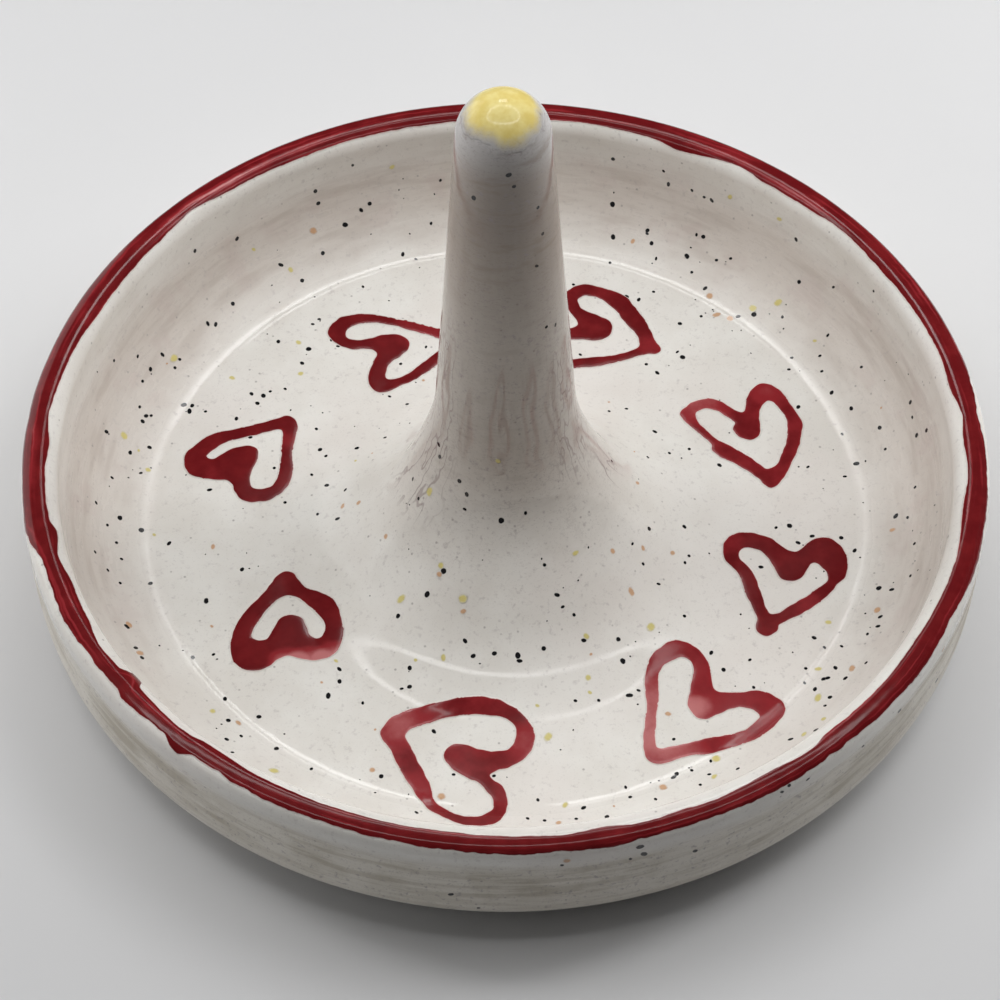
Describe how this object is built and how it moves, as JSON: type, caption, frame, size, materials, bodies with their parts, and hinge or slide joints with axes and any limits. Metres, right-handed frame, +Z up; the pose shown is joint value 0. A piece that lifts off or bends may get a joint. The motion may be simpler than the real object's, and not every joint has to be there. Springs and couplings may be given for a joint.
{
  "type": "ring dish",
  "caption": "Shallow round glazed pottery dish with a tapered central post for finger rings, a red painted rim and red painted hearts around the post.",
  "frame": {"origin": "middle of the foot ring, on the table", "axes": "+Z up the post's axis; +X to the right and +Y to the back as the dish stands in the picture"},
  "size_m": [0.14, 0.14, 0.0902],
  "materials": {
    "bisque_clay": "matt fired white earthenware, bare on the foot ring and underside",
    "clay_slip": "matt fired slip",
    "white_glaze": "glossy warm white glaze with black, yellow and orange flecks and faint brush streaks",
    "red_color": "brushed dark red ceramic colour under gloss, thinner and pinker in places",
    "yellow_color": "brushed pale yellow ceramic colour under gloss"
  },
  "bodies": {
    "root": {"dish_body": "bisque_clay", "ring_post": "bisque_clay", "luting_slip": "clay_slip", "inside_glaze": "white_glaze", "post_glaze": "white_glaze", "outside_glaze": "white_glaze", "rim_band": "red_color", "yellow_tip": "yellow_color", "heart_back_left": "red_color", "heart_back_right": "red_color", "heart_right_back": "red_color", "heart_right": "red_color", "heart_front_right": "red_color", "heart_front": "red_color", "heart_left_front": "red_color", "heart_left": "red_color"}
  },
  "joints": []
}
